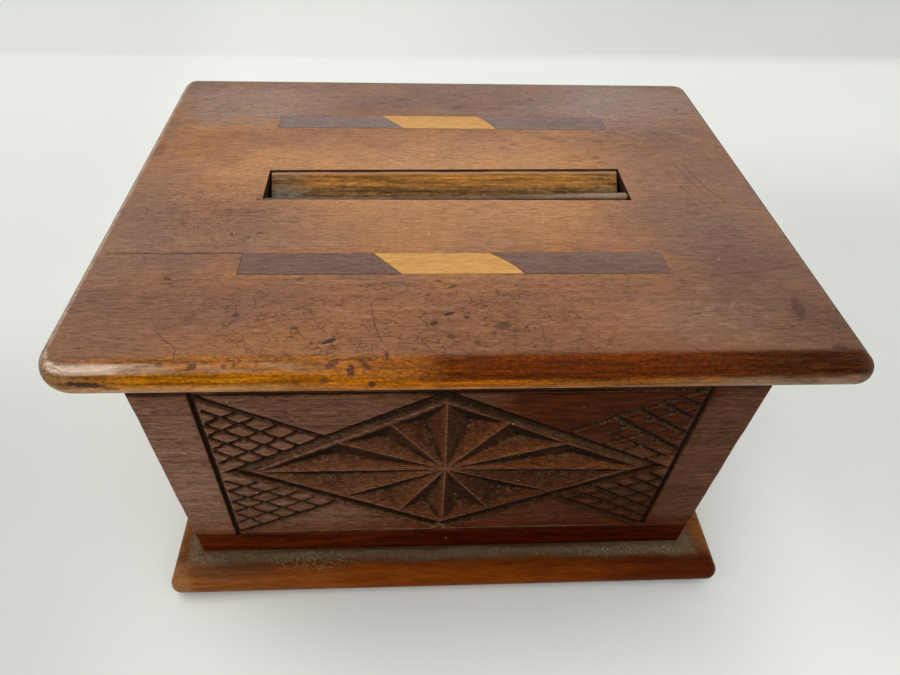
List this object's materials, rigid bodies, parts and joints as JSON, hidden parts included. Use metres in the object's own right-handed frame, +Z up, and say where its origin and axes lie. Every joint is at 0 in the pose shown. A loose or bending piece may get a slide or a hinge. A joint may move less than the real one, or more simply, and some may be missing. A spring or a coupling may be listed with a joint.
{
  "type": "wooden money box",
  "caption": "Wooden money box with a coin slot in its overhanging inlaid lid, a chip-carved diamond and star front, a sloping coin chute inside and a screwed base board.",
  "frame": {"origin": "on the table, under the middle of the lid", "axes": "+Z up, carved front faces -Y, +X to the right seen from the front"},
  "size_m": [0.18, 0.1408, 0.11],
  "materials": {
    "lid_wood": "old shellac, semi-gloss",
    "carcass_wood": "old shellac, semi-gloss",
    "base_wood": "old shellac, semi-gloss",
    "dark_inlay": "old shellac, semi-gloss",
    "light_inlay": "old shellac, semi-gloss",
    "chute_wood": "bare, worn and dusty",
    "lath_wood": "bare, worn",
    "block_wood": "bare, sawn",
    "screw_brass": "tarnished"
  },
  "bodies": {
    "base": {"base_board": "base_wood", "base_screw_front_left": "screw_brass", "base_screw_front_right": "screw_brass", "base_screw_back_left": "screw_brass", "base_screw_back_right": "screw_brass"},
    "box": {"lid_board": "lid_wood", "inlay_front_left": "dark_inlay", "inlay_front_light": "light_inlay", "inlay_front_right": "dark_inlay", "inlay_back_left": "dark_inlay", "inlay_back_light": "light_inlay", "inlay_back_right": "dark_inlay", "chute_board": "chute_wood", "chute_left_cheek": "chute_wood", "chute_right_cheek": "chute_wood", "slot_front_lath": "lath_wood", "front_board": "carcass_wood", "back_board": "carcass_wood", "left_side_board": "carcass_wood", "right_side_board": "carcass_wood", "glue_block_front_left": "block_wood", "glue_block_front_right": "block_wood", "glue_block_back_left": "block_wood", "glue_block_back_right": "block_wood"}
  },
  "joints": [
    {"name": "box_lift", "type": "slide", "parent": "base", "child": "box", "axis": [0, 0, 1], "range_m": [0, 0.12]}
  ]
}
